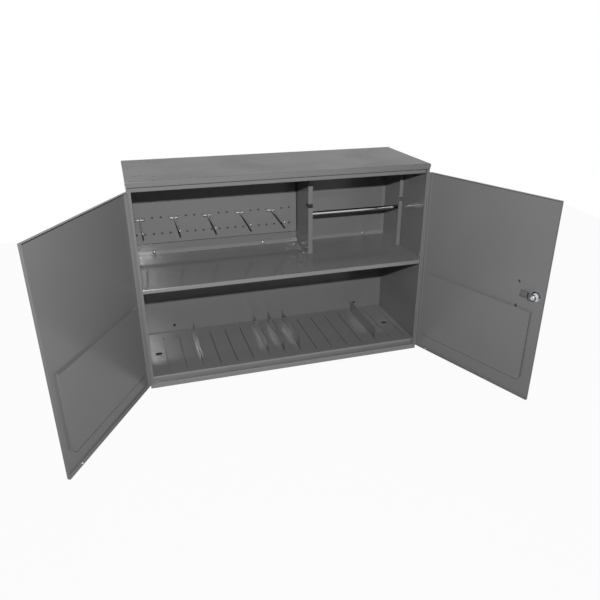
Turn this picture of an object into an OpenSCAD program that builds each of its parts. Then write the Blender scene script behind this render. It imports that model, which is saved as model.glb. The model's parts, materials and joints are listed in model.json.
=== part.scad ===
// Wall-mounted tool cabinet in folded steel sheet, with two doors, a shelf, a peg panel, a paper roll
// holder and a slotted tray with dividers.
// The origin is the centre of the four wall bolts, on the back face. X runs along the wall, Y points into
// the wall and Z is up. Sizes are in millimetres. The doors are drawn open.

/* [Case] */
// Outside width of the case
case_w = 845; // [780:5:1000]
// Depth of the case, from the wall to its front
case_d = 295; // [285:5:400]
// Outside height of the case
case_h = 600; // [580:5:760]
// Sheet thickness of the case, the lid and the floor pan
sheet_t = 1.5; // [1.2:0.1:2]
// Inside radius of the folds
fold_r = 1.2; // [0.8:0.1:2]
// Height of the fascias above and below the doors
fascia_h = 16; // [14:1:22]
// Depth of the fold behind each fascia
fascia_return = 8.5; // [6:0.5:8.5]
// Width of the flange along the front edge of each side
side_flange_w = 10; // [9:0.5:16]
// Height of the lid's turned-down side edges
lid_edge_h = 10; // [8:1:13]
// Height of the floor pan's upturned edges
pan_edge_h = 12; // [8:1:18]

/* [Wall bolts] */
// Distance between the wall bolts along the wall
bolt_spacing_x = 640; // [400:10:700]
// Distance between the wall bolts up the wall
bolt_spacing_z = 490; // [440:10:500]
// Diameter of the wall bolt holes
bolt_hole_d = 9; // [7:0.5:12]

/* [Stop strips] */
// Distance of the stop strips behind the front
stop_set = 10.5; // [10.5:0.5:14]
// Height of the top strip below the fascia
top_stop_drop = 13.5; // [8:0.5:18]
// Depth of the strips' folded legs
stop_leg = 13; // [8:1:16]
// Gap between a strip's end and the side
stop_end_gap = 6; // [3:1:12]

/* [Shelf] */
// Height of the shelf's upper face above the underside of the case
shelf_z = 307.3; // [290:1:320]
// Sheet thickness of the shelf
shelf_t = 1.2; // [1:0.1:1.5]
// Height of the shelf's front lip
shelf_lip_h = 12.6; // [10:0.2:20]
// Depth of the fold behind the lip
shelf_return = 10; // [6:1:16]
// Height of the shelf's rear flange
shelf_back_h = 12; // [11:1:20]
// Distance of the shelf's lip behind the front
shelf_set = 3; // [2.6:0.2:8]
// Distance of the outer rear bolts from the case's sides
shelf_bolt_edge = 64; // [40:2:120]
// Length of the tabs at the shelf's ends
shelf_tab_l = 22; // [18:1:40]
// Height of the tabs at the shelf's ends
shelf_tab_h = 20; // [18:1:24]

/* [Peg panel] */
// Pitch of the peg holes along a row
peg_pitch = 25.4; // [25.4:0.1:30]
// Distance between the two rows of peg holes
peg_row_gap = 50.8; // [40:0.2:60]
// Height of the upper row above the shelf
peg_row_z = 119.7; // [110:0.5:140]
// Diameter of a peg hole
peg_hole_d = 6.35; // [6.1:0.05:7]
// Distance from the case's side to the first hole
peg_edge = 17.6; // [14:0.2:30]
// Distance of the panel's face from the wall
peg_face = 12; // [12:0.5:16]
// Sheet thickness of the peg panel
peg_t = 1.2; // [1:0.1:1.5]
// Distance from the lower row to the panel's lower edge
peg_margin = 31; // [16:1:34]
// Gap between the panel's upper edge and the lid
peg_top_gap = 24; // [10:1:40]

/* [Hooks] */
// Peg holes from one hook to the next
hook_step = 4; // [3:1:4]
// Wire diameter of a hook's peg
hook_d = 5; // [4:0.1:6]
// Wire diameter of the two prongs in the peg holes
prong_d = 4.5; // [4:0.1:5]
// Length of the straight peg
hook_len = 160; // [80:5:170]
// Rise of the peg in degrees
hook_rise = 2; // [0:0.5:5]
// How far the cross wire stands in front of the panel
hook_throw = 17; // [9:0.5:20]
// Height of the prongs' turned-up ends behind the panel
prong_up = 7; // [5:0.5:7]
// Radius of the bends at the cross wire
hook_bend = 4.5; // [3.5:0.1:6]
// Radius of the prongs' bends behind the panel
prong_bend = 3.2; // [2.6:0.1:3.6]

/* [Roll holder] */
// Clear width between the two brackets
roll_w = 314; // [250:1:320]
// Distance of the brackets' front flanges behind the front of the case
roll_front = 157; // [120:1:165]
// Width of the brackets' front and rear flanges
roll_flange_w = 14; // [12:0.5:20]
// Sheet thickness of the brackets
roll_t = 1.5; // [1.2:0.1:2]
// Height of the rod's axis above the shelf
rod_z = 121.7; // [100:0.5:140]
// Distance of the rod's axis behind the brackets' fronts
rod_back = 25; // [20:0.5:60]
// Outside diameter of the rod
rod_d = 12.7; // [12:0.1:16]
// Wall of the rod's tube
rod_wall = 1.5; // [1.2:0.1:2]
// Diameter of the rod's end pins
pin_d = 6; // [5:0.1:6.5]
// Running clearance round the pins and the hinge pins, on the radius
running_gap = 0.05; // [0.03:0.01:0.08]
// Height of the notches above the rod's axis
notch_rise = 30.8; // [20:0.2:60]
// Height of a notch
notch_h = 12.5; // [8:0.5:16]
// Depth of a notch behind the brackets' fronts
notch_depth = 35; // [18:1:60]
// Width of the left bracket's foot
foot_w = 18; // [14:1:24]
// Length of the left bracket's foot
foot_len = 24; // [14:1:40]
// Height of the foot's welded leg above the shelf
foot_h = 10; // [8:1:20]
// Distance of the foot behind the bracket's front
foot_set = 6; // [2:1:20]
// Length of the rod's spring
spring_len = 46; // [30:1:60]

/* [Tray] */
// Height of the tray's upper face above the underside of the case
tray_z = 33.5; // [30:0.5:60]
// Sheet thickness of the tray and its dividers
tray_t = 1.2; // [1:0.1:1.5]
// Height of the tray's front lip
tray_lip_h = 7; // [5:0.5:10]
// Pitch of the slots
slot_pitch = 50.8; // [40:0.2:52]
// Distance from the case's side to the first slot
slot_edge = 59.4; // [40:0.2:70]
// Width of a slot
slot_w = 1.8; // [1.8:0.1:4]
// Distance of the slots' front ends behind the front of the case
slot_front = 32; // [24:1:50]
// Distance of the slots' rear ends from the wall
slot_rear = 36; // [30:1:60]
// Diameter of the two finger holes
finger_hole_d = 20; // [10:1:24]
// Distance of the finger holes to the left of the first and the last slot
finger_hole_offset = 22.4; // [18:0.2:26]
// Smallest distance from the last slot to the case's side
slot_end_gap = 18; // [16:1:24]

/* [Dividers] */
// Height of a divider above the tray
divider_h = 38.5; // [25:0.5:80]
// Distance of the dividers' front ends behind the slots' front ends
divider_front = 10; // [4:1:20]
// How far the dividers reach past the slots' rear ends
divider_over = 9; // [0:1:20]
// Depth of the tongue below the tray
tongue_h = 10; // [6:0.5:14]
// Radius of the dividers' upper corners
divider_r = 3; // [1:0.5:8]

/* [Doors] */
// Angle at which the left door stands open, 0 when shut
left_open = 119.6; // [0:0.1:180]
// Angle at which the right door stands open, 0 when shut
right_open = 110.2; // [0:0.1:180]
// Depth of a door, over its flanges
door_d = 9; // [8:0.5:16]
// Sheet thickness of a door
door_t = 1.2; // [1:0.1:1.5]
// Gap between the doors' upper edges and the upper fascia
door_top_gap = 8; // [3:0.5:12]
// Height of the doors' lower edges above the underside of the case
door_foot = 15; // [8:0.5:24]
// Gap between the two shut doors
centre_gap = 7; // [2:0.5:10]
// Diameter of the drain holes in the lower flanges
drain_d = 5; // [3:0.5:5.5]
// Distance from the left door's free edge to its drain hole
drain_left = 58; // [30:0.5:390]
// Distance from the hinge line to the right door's drain hole
drain_right = 42; // [30:1:390]

/* [Hinges] */
// Distance of the hinge lines from the case's sides, which an opened door's leaf clears
hinge_in = 1; // [0:0.1:1]
// Outside diameter of the hinge knuckles
knuckle_d = 4.6; // [4:0.1:5]
// Diameter of the hinge pins
hinge_pin_d = 2.3; // [2:0.1:2.4]
// Sheet thickness of the hinge leaves
leaf_t = 1; // [0.8:0.1:1.1]
// Length of one knuckle, with its gap
knuckle_pitch = 25.4; // [20:0.2:40]
// Gap between knuckles
knuckle_gap = 0.4; // [0.3:0.1:0.8]

/* [Door pockets] */
// Distance from the hinge line to the pockets
pocket_side = 27; // [16:1:60]
// Distance from the pockets to the doors' free edges
pocket_free = 32.5; // [22:0.5:194]
// Height of the pockets' lower edge above the underside of the case
pocket_z = 64; // [40:1:90]
// Height of a pocket
pocket_h = 207; // [120:1:210]
// Sheet thickness of the pockets
pocket_t = 1; // [0.8:0.1:1.2]
// Bevel of the pockets' lower corners
pocket_bevel = 7; // [3:0.5:14]
// Width of the pockets' weld flanges
weld_flange_w = 9; // [6:0.5:10]

/* [Lock and handle] */
// Distance from the door's free edge to the lock's axis
lock_edge = 27.5; // [18.5:0.5:30.5]
// Height of the lock and the cam above the underside of the case
lock_z = 317.5; // [317:0.5:400]
// Diameter of the lock's barrel
barrel_d = 19; // [16:0.5:22]
// Diameter of the lock's flange outside the door
lock_flange_d = 26; // [24:0.5:30]
// Width of the lock's nut across its flats
lock_nut_w = 25; // [23:0.5:28]
// Thickness of the lock's nut
lock_nut_h = 4; // [3:0.5:5]
// How far the barrel reaches behind the door's inner edge
barrel_reach = 6.5; // [5:0.5:9]
// Length of the cam, from the lock's axis
cam_len = 43; // [36:1:48]
// Width of the cam
cam_w = 17; // [12:0.5:18]
// Thickness of the cam
cam_t = 2; // [1.5:0.1:2.5]
// Distance from the door's free edge to the handle
handle_edge = 82; // [50.5:0.5:120.5]
// Distance between the handle's screws
handle_span = 70; // [60:1:100]
// Height of the handle's middle above the underside of the case
handle_z = 309; // [280:1:400]
// Diameter of the handle's bar
handle_d = 9; // [7:0.5:12]
// How far the handle's bar stands off the door
handle_reach = 30; // [24:1:40]

/* [Fasteners] */
// Diameter of the dome heads
dome_d = 10; // [8:0.5:10.5]
// Diameter of the larger head at the shelf's left rear corner
corner_dome_d = 11.6; // [8:0.2:12]
// Height of the dome heads
dome_h = 3; // [2:0.2:4]
// Diameter of the rivets' shanks
shank_d = 4; // [3:0.2:4.4]
// Diameter of the screws' heads
screw_head_d = 8; // [7:0.5:9]
// Diameter of the screws' threads
screw_d = 3.2; // [2.8:0.2:3.6]

/* [Hidden] */

// Colours of the finishes
paint = "#6a6b6c";
bright = "#c9ccd0";
zinc = "#a7abb0";
black_zinc = "#2e3033";

// A hair that keeps cutting solids clear of the faces they cut
cut = 0.1;
// Clearance between sheets that lie side by side
sheet_gap = 0.3;

// Faces of the case
x_out = case_w / 2;
x_in = x_out - sheet_t;
y_front = -case_d;
y_back = -sheet_t;
z_bot = -case_h / 2;
z_top = case_h / 2;
z_shelf = z_bot + shelf_z;
z_tray = z_bot + tray_z;
lid_under = z_top - sheet_t;
fold_out = fold_r + sheet_t;

// Stop strips
y_stop = y_front + stop_set;
stop_len = 2 * (x_in - stop_end_gap);

// Peg panel
y_peg = -peg_face;
z_peg_top = z_shelf + peg_row_z;
z_peg_low = z_peg_top - peg_row_gap;

// Roll holder
bracket_x = x_in - roll_t - roll_w - roll_t;
y_bracket = y_front + roll_front;
y_rod = y_bracket + rod_back;
z_rod = z_shelf + rod_z;
rod_x0 = bracket_x + roll_t;
rod_x1 = x_in - roll_t;
rod_end_gap = 1.5;
rod_bore_d = rod_d - 2 * rod_wall;
plug_len = 20;
plunger_head = 14;
plunger_travel = 4;
collar_len = 4;
pin_tip_gap = 0.3;

// Tray and dividers
slot_total = floor((case_w - slot_edge - slot_end_gap) / slot_pitch) + 1;
slot_y0 = y_front + slot_front;
slot_y1 = -slot_rear;
divider_slots = [2, 6, 7, 8, 13];
rest_gap = 0.2;

// Doors: local x runs from the hinge line to the free edge and local y points into the shut cabinet
hinge_x = x_out - hinge_in;
hinge_y = y_front - knuckle_d / 2;
door_z0 = z_bot + door_foot;
door_z1 = z_top - fascia_h - door_top_gap;
door_h = door_z1 - door_z0;
door_w = hinge_x - centre_gap / 2;
door_in = knuckle_d / 2 - leaf_t - sheet_gap - cut;
door_out = door_in - door_d;
door_skin = door_out + door_t;
door_edge = knuckle_d / 2 + 0.1;
pocket_w = door_w - pocket_side - pocket_free;
knuckles = 2 * floor((door_h / knuckle_pitch + 1) / 2) - 1;
knuckle_len = door_h / knuckles;

// Lock and handle
lock_s = door_w - lock_edge;
handle_s = door_w - handle_edge;
z_lock = z_bot + lock_z;
z_handle = z_bot + handle_z;
handle_grip = 12;
barrel_end = door_in + barrel_reach;
cam_in = door_in + sheet_gap;
plug_d = barrel_d * 0.62;
cam_bolt_len = 9;

// Points of an arc about a centre, from one angle to another
function arc(c, r, a0, a1, n = 8) = [for (k = [0 : n]) c + r * [cos(a0 + (a1 - a0) * k / n),
    sin(a0 + (a1 - a0) * k / n)]];

// Direction of the leg from a to b, and the turn at corner i of a path
function heading(a, b) = atan2(b[1] - a[1], b[0] - a[0]);
function wrapped(a) = a > 180 ? a - 360 : a < -180 ? a + 360 : a;
function turn(p, i) = wrapped(heading(p[i], p[i + 1]) - heading(p[i - 1], p[i]));

// Steps along one face of a folded sheet, each a point and a direction. The sheet lies to the left of the
// path, so a left-hand fold is wider on this face by the sheet's thickness.
function fold_steps(p, t, r, n) = concat(
    [[p[0], heading(p[0], p[1])]],
    [for (i = [1 : len(p) - 2])
        let (h = heading(p[i - 1], p[i]), a = turn(p, i), s = sign(a), q = r + (s > 0 ? t : 0),
            start = p[i] - q * tan(abs(a) / 2) * [cos(h), sin(h)],
            centre = start + s * q * [-sin(h), cos(h)])
        each [for (k = [0 : n]) let (b = h + a * k / n) [centre - s * q * [-sin(b), cos(b)], b]]],
    [[p[len(p) - 1], heading(p[len(p) - 2], p[len(p) - 1])]]);

// Outline of a folded sheet, from the path along one of its faces
function fold_outline(p, t, r, n) = let (s = fold_steps(p, t, r, n)) concat(
    [for (q = s) q[0]],
    [for (i = [len(s) - 1 : -1 : 0]) s[i][0] + t * [-sin(s[i][1]), cos(s[i][1])]]);

module folded(p, t = sheet_t, r = fold_r, n = 5) {
    polygon(fold_outline(p, t, r, n));
}

// A profile drawn in Y and Z, run along X
module along_x(length, from = undef) {
    x0 = is_undef(from) ? -length / 2 : from;
    translate([x0, 0, 0])
        rotate([90, 0, 90])
            linear_extrude(length)
                children();
}

// A profile drawn in X and Z, run along Y from the first value to the second
module along_y(y0, y1) {
    translate([0, y1, 0])
        rotate([90, 0, 0])
            linear_extrude(y1 - y0)
                children();
}

// A box between two corners
module box(a, b) {
    translate(a)
        cube(b - a);
}

// The same piece at the left and the right of the case
module both_sides() {
    children();
    mirror([1, 0, 0])
        children();
}

// A round bar between two points that differ along one axis only
module bar_x(x0, x1, d, fn = 40) {
    translate([x0, 0, 0])
        rotate([0, 90, 0])
            cylinder(d = d, h = x1 - x0, $fn = fn);
}

module bar_y(y0, y1, d, fn = 40) {
    translate([0, y1, 0])
        rotate([90, 0, 0])
            cylinder(d = d, h = y1 - y0, $fn = fn);
}

// Outline with both upper corners rounded
module crown(x0, x1, z0, z1, r) {
    polygon(concat([[x0, z0], [x1, z0]], arc([x1 - r, z1 - r], r, 0, 90), arc([x0 + r, z1 - r], r, 90, 180)));
}

// A dome-headed fastener whose head stands on z = 0 and whose stem goes down
module dome_fastener(length, stem_d = shank_d, head_d = dome_d) {
    head_h = dome_h * head_d / dome_d;
    crown_r = (head_d * head_d / 4 + head_h * head_h) / (2 * head_h);
    a = asin(head_d / 2 / crown_r);
    rotate_extrude($fn = 36)
        polygon(concat([[0, -length], [stem_d / 2, -length], [stem_d / 2, 0], [head_d / 2, 0]],
            [for (k = [1 : 7]) crown_r * [sin(a * (1 - k / 8)), cos(a * (1 - k / 8))]
                + [0, head_h - crown_r]], [[0, head_h]]));
}

// Everything of a fascia's fold that would run into the side walls
module fold_end_notches(z0, z1) {
    both_sides()
        box([x_in - sheet_gap, y_front + sheet_t + cut, z0], [x_out + cut, cut, z1]);
}

module wall_bolt_holes() {
    for (x = [-1, 1], z = [-1, 1])
        translate([x * bolt_spacing_x / 2, 0, z * bolt_spacing_z / 2])
            bar_y(-sheet_t - cut, cut, bolt_hole_d);
}

// Sides and back in one folded sheet
module body_wrap() {
    color(paint)
    difference() {
        intersection() {
            translate([0, 0, z_bot])
                linear_extrude(case_h - sheet_t)
                    folded([[x_out - side_flange_w, y_front], [x_out, y_front], [x_out, 0], [-x_out, 0],
                        [-x_out, y_front], [-x_out + side_flange_w, y_front]]);
            // Clear of the lid's folds
            along_y(y_front - cut, cut)
                crown(-x_out, x_out, z_bot - cut, lid_under, fold_r);
        }
        for (z = [z_bot - cut, z_top - fascia_h - sheet_gap]) {
            box([-x_out - cut, y_front - cut, z],
                [x_out + cut, y_front + sheet_t + cut, z + fascia_h + sheet_gap + cut]);
            box([-x_in, y_front - cut, z], [x_in, y_front + fold_out + cut, z + fascia_h + sheet_gap + cut]);
        }
        wall_bolt_holes();
        shelf_rivet_holes(-2 * sheet_t, 2 * sheet_t);
        shelf_screw_places() bar_x(-2 * sheet_t, 2 * sheet_t, screw_d, 24);
    }
}

// Lid with a fascia at the front and short turned-down edges at the sides
module top_lid() {
    z_fascia = z_top - fascia_h;
    color(paint) {
        difference() {
            intersection() {
                along_x(case_w + 2 * sheet_t)
                    polygon(concat([[0, z_fascia + fold_out], [0, z_top]],
                        arc([y_front + fold_out, z_top - fold_out], fold_out, 90, 180),
                        [[y_front, z_fascia + fold_out]]));
                along_y(y_front, 0)
                    crown(-x_out - sheet_t, x_out + sheet_t, z_fascia, z_top, fold_out);
            }
            intersection() {
                along_x(case_w)
                    polygon(concat([[cut, z_fascia], [cut, lid_under]],
                        arc([y_front + fold_out, z_top - fold_out], fold_r, 90, 180),
                        [[y_front + sheet_t, z_fascia]]));
                along_y(y_front, cut)
                    crown(-x_out, x_out, z_fascia - cut, lid_under, fold_r);
            }
            both_sides()
                box([x_out, y_front - cut, z_fascia - cut],
                    [x_out + sheet_t + cut, cut, z_top - lid_edge_h]);
        }
        difference() {
            along_x(case_w)
                folded([[y_front, z_fascia + fold_out], [y_front, z_fascia],
                    [y_front + fascia_return, z_fascia]]);
            fold_end_notches(z_fascia - cut, z_fascia + fold_out + cut);
        }
    }
}

// Floor pan with the lower fascia, its fold and upturned edges
module floor_pan() {
    z_fascia = z_bot + fascia_h;
    color(paint) {
        difference() {
            along_x(case_w)
                folded([[y_front + fascia_return, z_fascia], [y_front, z_fascia], [y_front, z_bot],
                    [y_back - sheet_gap, z_bot], [y_back - sheet_gap, z_bot + pan_edge_h]]);
            fold_end_notches(z_bot - cut, z_fascia + cut);
        }
        both_sides()
            along_y(y_front + fold_out + stop_set, y_back - fold_out - sheet_gap)
                folded([[x_in - 4 * sheet_t, z_bot], [x_in - sheet_gap, z_bot],
                    [x_in - sheet_gap, z_bot + pan_edge_h]]);
    }
}

// Strips that the shut doors stop against
module top_stop() {
    z_low = z_top - fascia_h - top_stop_drop;
    color(paint)
        along_x(stop_len)
            folded([[y_stop + stop_leg, lid_under], [y_stop, lid_under], [y_stop, z_low],
                [y_stop + stop_leg, z_low]]);
}

module bottom_stop() {
    color(paint)
        along_x(stop_len)
            folded([[y_stop + stop_leg, z_tray - tray_t], [y_stop, z_tray - tray_t],
                [y_stop, z_bot + sheet_t], [y_stop + stop_leg, z_bot + sheet_t]]);
}

// Where the shelf's rear rivets and end screws sit
shelf_rivets_at = [[-x_out + shelf_bolt_edge, corner_dome_d], [-10, dome_d],
    [x_out - shelf_bolt_edge - 15, dome_d]];
z_shelf_rivet = z_shelf + shelf_back_h / 2 + 1;

module shelf_rivet_holes(y0, y1) {
    for (r = shelf_rivets_at)
        translate([r[0], 0, z_shelf_rivet])
            bar_y(y0, y1, shank_d + 2 * cut, 24);
}

module shelf_screw_places() {
    both_sides()
        translate([x_out, y_front + shelf_set + 13, z_shelf + 13])
            children();
}

module shelf() {
    y_lip = y_front + shelf_set;
    y_flange = y_back - shelf_t;
    color(paint)
    difference() {
        union() {
            along_x(2 * (x_in - sheet_gap))
                folded([[y_flange, z_shelf + shelf_back_h], [y_flange, z_shelf], [y_lip, z_shelf],
                    [y_lip, z_shelf - shelf_lip_h], [y_lip + shelf_return, z_shelf - shelf_lip_h]], shelf_t);
            both_sides()
                along_x(shelf_t, x_in - sheet_gap - shelf_t)
                    translate([y_lip + fold_out, z_shelf - shelf_t])
                        crown(0, shelf_tab_l, 0, shelf_tab_h + shelf_t, 4);
        }
        shelf_rivet_holes(-4 * sheet_t, 0);
        shelf_screw_places() bar_x(-4 * sheet_t, 4 * sheet_t, screw_d + 2 * cut, 24);
    }
}

module shelf_rivets() {
    color(zinc)
        for (r = shelf_rivets_at)
            translate([r[0], y_back - shelf_t, z_shelf_rivet])
                rotate([90, 0, 0])
                    dome_fastener(shelf_t + sheet_t, shank_d, r[1]);
}

module shelf_screws() {
    color(zinc)
        shelf_screw_places()
            translate([-sheet_t - sheet_gap - shelf_t, 0, 0])
                rotate([0, -90, 0])
                    dome_fastener(shelf_t + sheet_gap + sheet_t, screw_d, screw_head_d);
}

// Perforated panel that stands off the back on its two folded edges
peg_x0 = -x_in + sheet_gap;
peg_x1 = bracket_x - 3;
peg_columns = floor((peg_x1 - peg_hole_d - (-x_out + peg_edge)) / peg_pitch) + 1;

module peg_panel() {
    z_low = z_peg_low - peg_margin;
    z_high = lid_under - peg_top_gap;
    color(paint)
    difference() {
        along_x(peg_x1 - peg_x0, peg_x0)
            folded([[y_back, z_high], [y_peg, z_high], [y_peg, z_low], [y_back, z_low]], peg_t);
        for (k = [0 : peg_columns - 1], z = [z_peg_low, z_peg_top])
            translate([-x_out + peg_edge + k * peg_pitch, 0, z])
                bar_y(y_peg - cut, y_peg + peg_t + cut, peg_hole_d, 24);
    }
}

// A quarter turn of wire about the origin, from +X to +Y in its own plane
module wire_elbow(r, d) {
    rotate_extrude(angle = 90, $fn = 32)
        translate([r, 0])
            circle(d = d, $fn = 20);
}

// One hook: two prongs in neighbouring peg holes, a cross wire and a straight peg
module peg_hook(index) {
    x_left = -x_out + peg_edge + (index - 1) * hook_step * peg_pitch;
    y_cross = y_peg - hook_throw;
    y_prong = y_peg + peg_t + prong_d / 2 + 1;
    color(bright)
    translate([x_left, 0, z_peg_top]) {
        for (side = [0, 1])
            translate([side * peg_pitch, 0, 0]) {
                bar_y(y_cross + hook_bend, y_prong - prong_bend, prong_d, 24);
                translate([0, y_prong - prong_bend, prong_bend])
                    rotate([0, 90, 0])
                        wire_elbow(prong_bend, prong_d);
                translate([0, y_prong, prong_bend])
                    cylinder(d = prong_d, h = prong_up - prong_bend, $fn = 24);
            }
        translate([hook_bend, y_cross + hook_bend, 0])
            rotate([0, 0, 180])
                wire_elbow(hook_bend, prong_d);
        translate([peg_pitch - hook_bend, y_cross + hook_bend, 0])
            rotate([0, 0, -90])
                wire_elbow(hook_bend, prong_d);
        translate([0, y_cross, 0])
            bar_x(hook_bend, peg_pitch - hook_bend, prong_d, 24);
        translate([peg_pitch / 2, y_cross, 0])
            rotate([-hook_rise, 0, 0]) {
                bar_y(-hook_len, 0, hook_d, 28);
                translate([0, -hook_len, 0])
                    sphere(d = hook_d, $fn = 28);
            }
    }
}

// Bracket of the roll holder: a plate with a flange at each end, both turned to the roll. The given value
// is the X of the plate's outer face, for the bracket at the left of the roll.
module roll_bracket(face_x) {
    z_low = z_shelf + rest_gap;
    z_high = lid_under - rest_gap;
    z_notch = z_rod + notch_rise;
    difference() {
        translate([0, 0, z_low])
            linear_extrude(z_high - z_low)
                folded([[face_x + roll_flange_w, y_back], [face_x, y_back], [face_x, y_bracket],
                    [face_x + roll_flange_w, y_bracket]], roll_t);
        box([face_x - cut, y_bracket - cut, z_notch - notch_h / 2],
            [face_x + roll_flange_w + cut, y_bracket + notch_depth - notch_h / 2, z_notch + notch_h / 2]);
        translate([0, y_bracket + notch_depth - notch_h / 2, z_notch])
            bar_x(face_x - cut, face_x + roll_t + cut, notch_h);
        translate([0, y_rod, z_rod])
            bar_x(face_x - cut, face_x + roll_t + cut, pin_d + 2 * running_gap);
        // Clear of the shelf's rear flange
        box([face_x - cut, y_back - shelf_t - sheet_gap, z_low - cut],
            [face_x + roll_flange_w + cut, cut, z_shelf + shelf_back_h + sheet_gap]);
    }
}

module roll_bracket_left() {
    color(paint) {
        roll_bracket(bracket_x);
        difference() {
            along_y(y_bracket + foot_set, y_bracket + foot_set + foot_len)
                folded([[bracket_x - foot_w, z_shelf + rest_gap], [bracket_x, z_shelf + rest_gap],
                    [bracket_x, z_shelf + foot_h]], roll_t, roll_t);
            translate([bracket_x - foot_w / 2, y_bracket + foot_set + foot_len / 2, z_shelf])
                cylinder(d = shank_d + 2 * cut, h = 4 * roll_t, $fn = 24);
        }
    }
}

module roll_bracket_right() {
    color(paint)
        mirror([1, 0, 0])
            roll_bracket(-x_in);
}

module bracket_rivet() {
    color(zinc)
        translate([bracket_x - foot_w / 2, y_bracket + foot_set + foot_len / 2, z_shelf + rest_gap + roll_t])
            dome_fastener(roll_t + rest_gap);
}

// Rod: a tube on a fixed end plug and a sprung plunger, which a collar at the tube's end holds in
module rod_tube() {
    color(bright)
        translate([0, y_rod, z_rod])
            difference() {
                bar_x(rod_x0 + rod_end_gap, rod_x1 - rod_end_gap, rod_d, 64);
                bar_x(rod_x0 + rod_end_gap - cut, rod_x1 - rod_end_gap - collar_len + sheet_gap,
                    rod_bore_d, 64);
                bar_x(rod_x1 - 2 * rod_end_gap - collar_len, rod_x1, pin_d + 2 * running_gap, 48);
            }
}

module rod_end_plug() {
    color(zinc)
        translate([0, y_rod, z_rod]) {
            bar_x(rod_x0 + rod_end_gap, rod_x0 + rod_end_gap + plug_len, rod_bore_d, 48);
            bar_x(rod_x0 - roll_t, rod_x0 + rod_end_gap, pin_d);
        }
}

module rod_plunger() {
    color(zinc)
        translate([0, y_rod, z_rod]) {
            bar_x(rod_x1 - rod_end_gap - collar_len - plunger_head, rod_x1 - rod_end_gap - collar_len,
                rod_bore_d - 2 * running_gap, 48);
            bar_x(rod_x1 - rod_end_gap - collar_len, x_in - pin_tip_gap, pin_d);
        }
}

// Tube of a round wire along a helix about the X axis, as one closed skin
function ring(p, u, v, r, sides) = [for (k = [0 : sides - 1]) p + r * cos(360 * k / sides) * u
    + r * sin(360 * k / sides) * v];

module helix_x(x0, x1, radius, wire, turns, steps = 10, sides = 6) {
    n = turns * steps;
    pitch = (x1 - x0 - wire) / turns;
    points = [for (i = [0 : n])
        let (a = 360 * i / steps,
            p = [x0 + wire / 2 + pitch * i / steps, radius * cos(a), radius * sin(a)],
            u = [0, cos(a), sin(a)],
            t = [pitch / (2 * PI * radius), -sin(a), cos(a)],
            v = cross(t / norm(t), u))
        each ring(p, u, v, wire / 2, sides)];
    faces = concat(
        [for (i = [0 : n - 1], k = [0 : sides - 1]) each [
            [i * sides + k, (i + 1) * sides + k, i * sides + (k + 1) % sides],
            [i * sides + (k + 1) % sides, (i + 1) * sides + k, (i + 1) * sides + (k + 1) % sides]]],
        [for (k = [1 : sides - 2]) [0, k, k + 1]],
        [for (k = [1 : sides - 2]) [n * sides, n * sides + k + 1, n * sides + k]]);
    polyhedron(points, faces);
}

module rod_spring() {
    spring_end = rod_x1 - rod_end_gap - collar_len - plunger_head;
    color(zinc)
        translate([0, y_rod, z_rod])
            helix_x(spring_end - spring_len, spring_end - sheet_gap, rod_bore_d / 2 - 1.2, 1, 12);
}

// Tray with a slot for a divider at every pitch
module slotted_tray() {
    y_lip = y_stop - tray_t - sheet_gap;
    y_rear = y_back - sheet_t - 2 * sheet_gap;
    x_edge = x_in - sheet_t - 2 * sheet_gap;
    z_foot = z_bot + fold_out;
    color(paint)
    difference() {
        union() {
            along_x(2 * x_edge)
                folded([[y_rear, z_foot], [y_rear, z_tray], [y_lip, z_tray],
                    [y_lip, z_tray - tray_lip_h]], tray_t);
            both_sides()
                along_y(y_stop + stop_leg + sheet_gap, y_rear - fold_out)
                    folded([[x_edge, z_foot], [x_edge, z_tray],
                        [x_edge - 4 * tray_t, z_tray]], tray_t);
        }
        for (k = [0 : slot_total - 1])
            box([slot_x(k) - slot_w / 2, slot_y0, z_tray - 2 * tray_t],
                [slot_x(k) + slot_w / 2, slot_y1, z_tray + cut]);
        for (k = [0, slot_total - 1])
            translate([slot_x(k) - finger_hole_offset, (slot_y0 + slot_y1) / 2, z_tray - 2 * tray_t])
                cylinder(d = finger_hole_d, h = 3 * tray_t, $fn = 40);
    }
}

function slot_x(k) = -x_out + slot_edge + k * slot_pitch;

// Divider that stands on the tray with its tongue in a slot
module divider(index) {
    y0 = slot_y0 + divider_front;
    y1 = slot_y1 + divider_over;
    tongue_gap = 1.5;
    color(paint)
        translate([slot_x(divider_slots[index - 1]), 0, z_tray + rest_gap])
            along_x(tray_t) {
                crown(y0, y1, 0, divider_h, divider_r);
                translate([y0 + tongue_gap, -tongue_h])
                    square([slot_y1 - y0 - 2 * tongue_gap, tongue_h]);
            }
}

// Local frames of the open doors
module on_left_door() {
    translate([-hinge_x, hinge_y, 0])
        rotate([0, 0, -left_open])
            children();
}

module on_right_door() {
    translate([hinge_x, hinge_y, 0])
        rotate([0, 0, right_open])
            mirror([1, 0, 0])
                children();
}

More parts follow.
